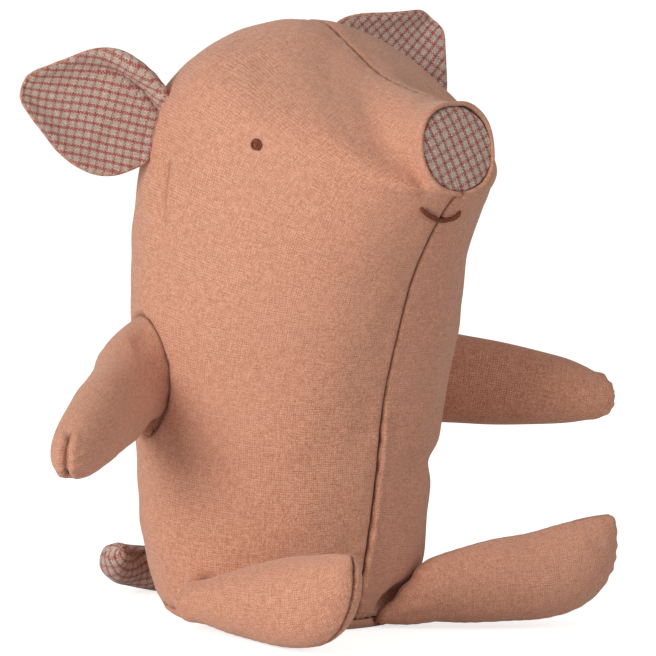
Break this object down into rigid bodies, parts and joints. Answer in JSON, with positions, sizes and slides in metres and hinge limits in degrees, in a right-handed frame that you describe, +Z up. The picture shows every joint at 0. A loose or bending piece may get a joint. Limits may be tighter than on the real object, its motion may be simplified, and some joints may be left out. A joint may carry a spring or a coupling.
{
  "type": "plush pig",
  "caption": "Seated plush pig with a tall stuffed body, a drawn-out snout with a check disc, cupped check ears, flexing stuffed arms and legs, and a rolled tail.",
  "frame": {"origin": "on the resting face of the base panel, in the median plane", "axes": "+Z up, -Y the way the pig faces, +X the pig's left"},
  "size_m": [0.2401, 0.1531, 0.2038],
  "materials": {
    "salmon_cloth": "brushed plain weave cotton, matte",
    "check_cloth": "small yarn-dyed check cotton, matte",
    "brown_floss": "stranded embroidery thread, slight sheen",
    "stuffing": "loose polyester fibre filling"
  },
  "bodies": {
    "body": {"body_side_right": "salmon_cloth", "body_side_left": "salmon_cloth", "base_panel": "salmon_cloth", "body_filling": "stuffing", "snout_disc": "check_cloth", "eye_right": "brown_floss", "eye_left": "brown_floss", "mouth_stitch": "brown_floss"},
    "arm_right": {"arm_right_front": "salmon_cloth", "arm_right_back": "salmon_cloth", "arm_right_filling": "stuffing"},
    "leg_right": {"leg_right_outer": "salmon_cloth", "leg_right_inner": "salmon_cloth", "leg_right_filling": "stuffing"},
    "ear_right": {"ear_right_front": "check_cloth", "ear_right_back": "salmon_cloth"},
    "arm_left": {"arm_left_front": "salmon_cloth", "arm_left_back": "salmon_cloth", "arm_left_filling": "stuffing"},
    "leg_left": {"leg_left_outer": "salmon_cloth", "leg_left_inner": "salmon_cloth", "leg_left_filling": "stuffing"},
    "ear_left": {"ear_left_front": "check_cloth", "ear_left_back": "salmon_cloth"},
    "tail": {"tail": "check_cloth"}
  },
  "joints": [
    {"name": "arm_right_swing", "type": "hinge", "parent": "body", "child": "arm_right", "pos_m": [-0.05998, 0.02172, 0.07923], "axis": [-0.2189, -0.1533, 0.9636], "range_deg": [-60, 25], "stiffness_Nm_per_rad": 0.05},
    {"name": "leg_right_lift", "type": "hinge", "parent": "body", "child": "leg_right", "pos_m": [-0.048, -0.00645, 0.0092], "axis": [0.9994, 0.0349, 0], "range_deg": [-20, 70], "stiffness_Nm_per_rad": 0.06},
    {"name": "ear_right_flex", "type": "hinge", "parent": "body", "child": "ear_right", "pos_m": [-0.04658, 0.03412, 0.16642], "axis": [0.2625, -0.1162, 0.9579], "range_deg": [-25, 25], "stiffness_Nm_per_rad": 0.02},
    {"name": "arm_left_swing", "type": "hinge", "parent": "body", "child": "arm_left", "pos_m": [0.05998, 0.02172, 0.07923], "axis": [0.0468, -0.0392, 0.9981], "range_deg": [-25, 60], "stiffness_Nm_per_rad": 0.05},
    {"name": "leg_left_lift", "type": "hinge", "parent": "body", "child": "leg_left", "pos_m": [0.02308, -0.03275, 0.0084], "axis": [0.3584, 0.9336, 0], "range_deg": [-20, 70], "stiffness_Nm_per_rad": 0.06},
    {"name": "ear_left_flex", "type": "hinge", "parent": "body", "child": "ear_left", "pos_m": [0.04658, 0.03412, 0.16642], "axis": [0.707, -0.3332, -0.6238], "range_deg": [-25, 25], "stiffness_Nm_per_rad": 0.02},
    {"name": "tail_swing", "type": "hinge", "parent": "body", "child": "tail", "pos_m": [0, 0.04648, 0.00866], "axis": [0, 0, 1], "range_deg": [-45, 12], "stiffness_Nm_per_rad": 0.02}
  ]
}
